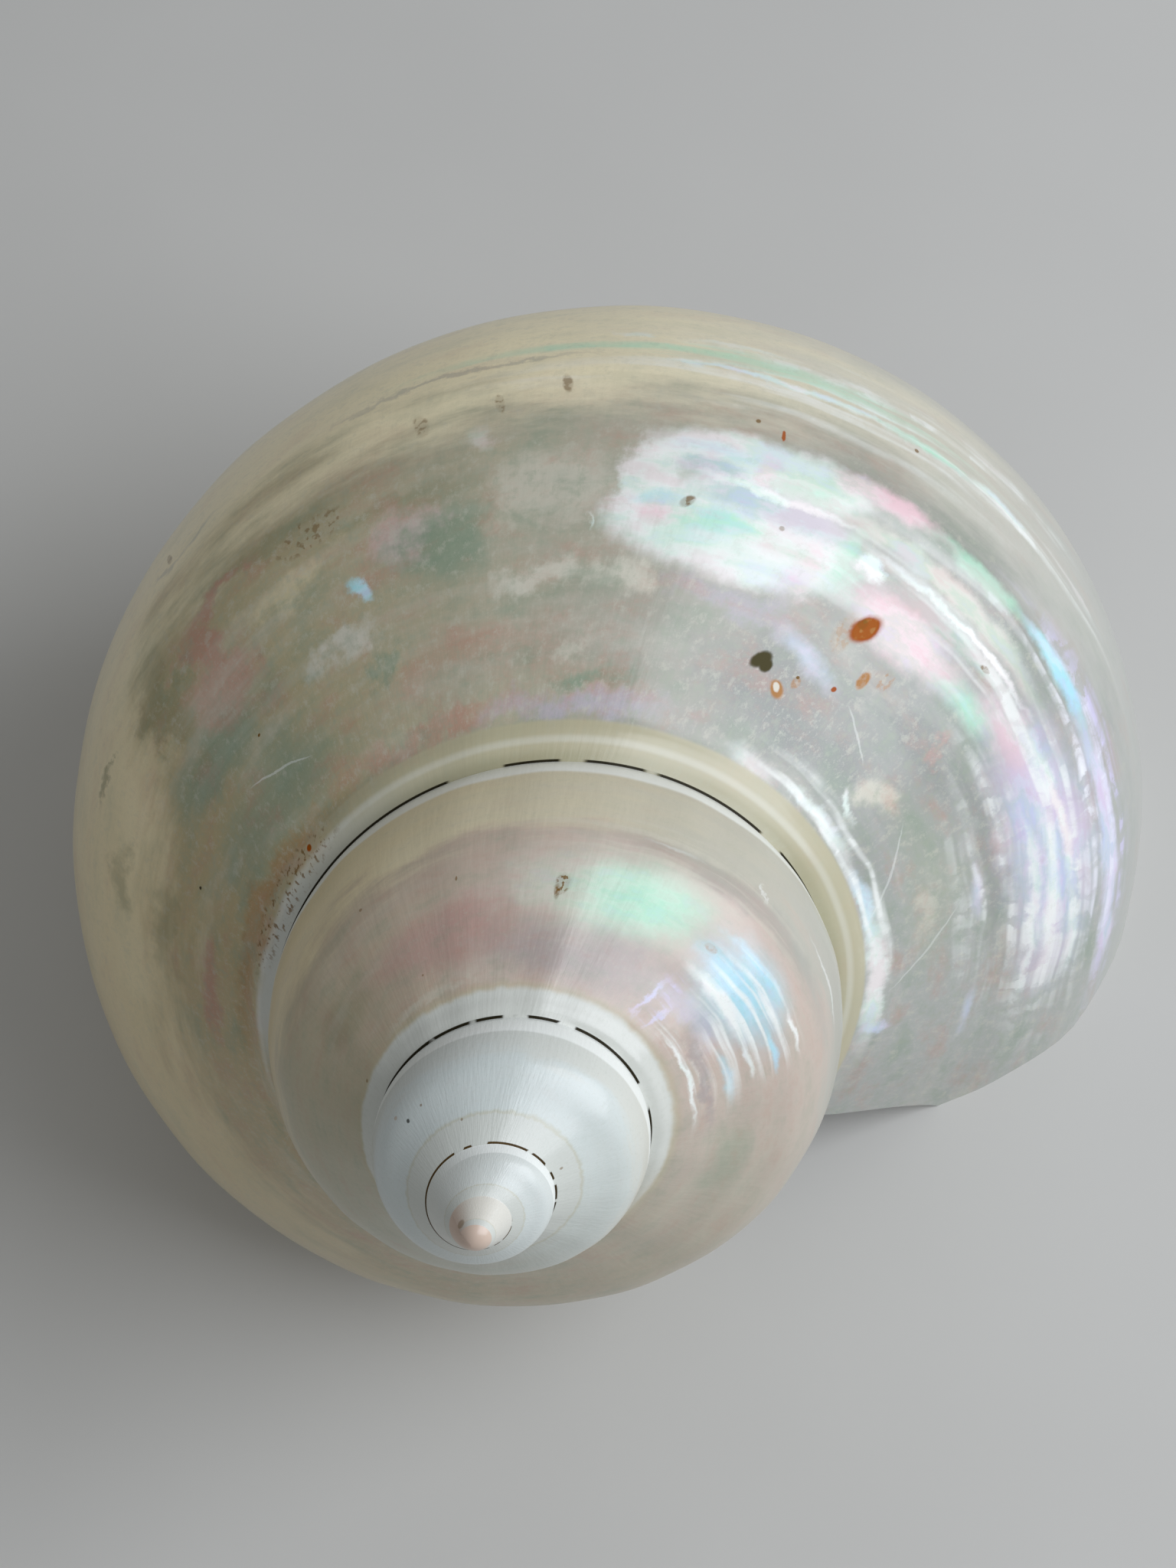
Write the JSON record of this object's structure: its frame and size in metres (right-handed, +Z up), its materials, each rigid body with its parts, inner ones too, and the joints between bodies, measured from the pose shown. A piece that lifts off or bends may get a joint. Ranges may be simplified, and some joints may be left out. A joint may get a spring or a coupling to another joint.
{
  "type": "turban shell",
  "caption": "Polished turban shell resting mouth down, with a rounded coiled body, a short spire and an open, hollow mouth underneath.",
  "frame": {"origin": "middle of the shell's bounding box, on the surface it rests on", "axes": "+Z up, mouth down; the spire points towards -Y and slightly -X, and the last turn opens towards +X"},
  "size_m": [0.0798, 0.0744, 0.0486],
  "materials": {
    "nacre": "polished"
  },
  "bodies": {
    "root": {"shell": "nacre"}
  },
  "joints": []
}
